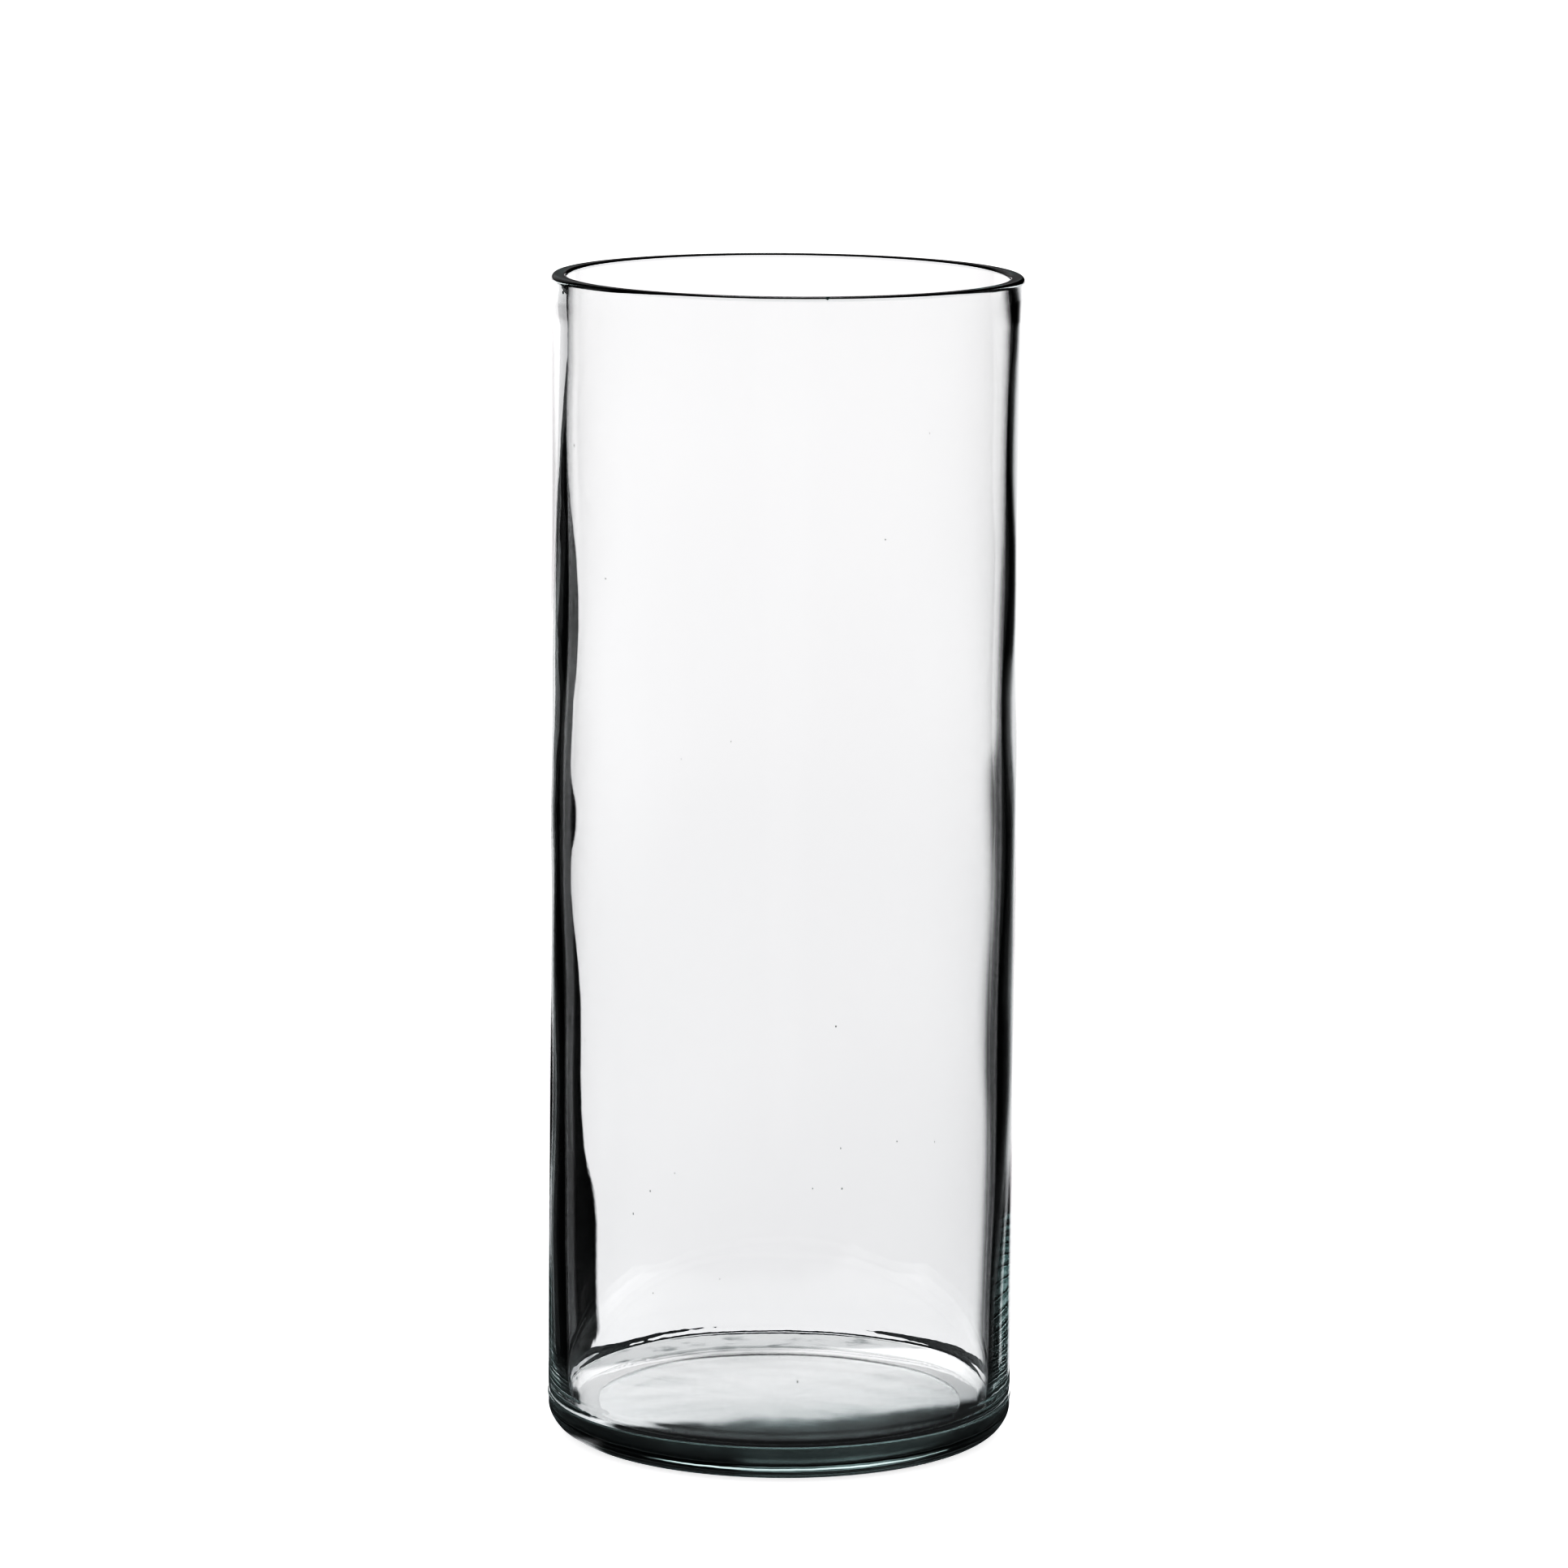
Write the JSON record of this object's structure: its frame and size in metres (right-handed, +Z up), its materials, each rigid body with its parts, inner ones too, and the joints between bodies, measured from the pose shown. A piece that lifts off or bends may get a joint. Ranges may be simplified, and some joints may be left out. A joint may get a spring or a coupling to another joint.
{
  "type": "glass cylinder vase",
  "caption": "Clear glass cylinder vase, open at the top, with a straight wall, a flame-rounded rim and a thick base that stands on a flat ring.",
  "frame": {"origin": "middle of the circle that the vase stands on, in the plane of its standing ring", "axes": "+Z up along the axis of the cylinder; the vase is round, so +X and +Y are any two directions across it"},
  "size_m": [0.1204, 0.1204, 0.3],
  "materials": {
    "clear_glass": "gloss"
  },
  "bodies": {
    "root": {"vase_body": "clear_glass"}
  },
  "joints": []
}
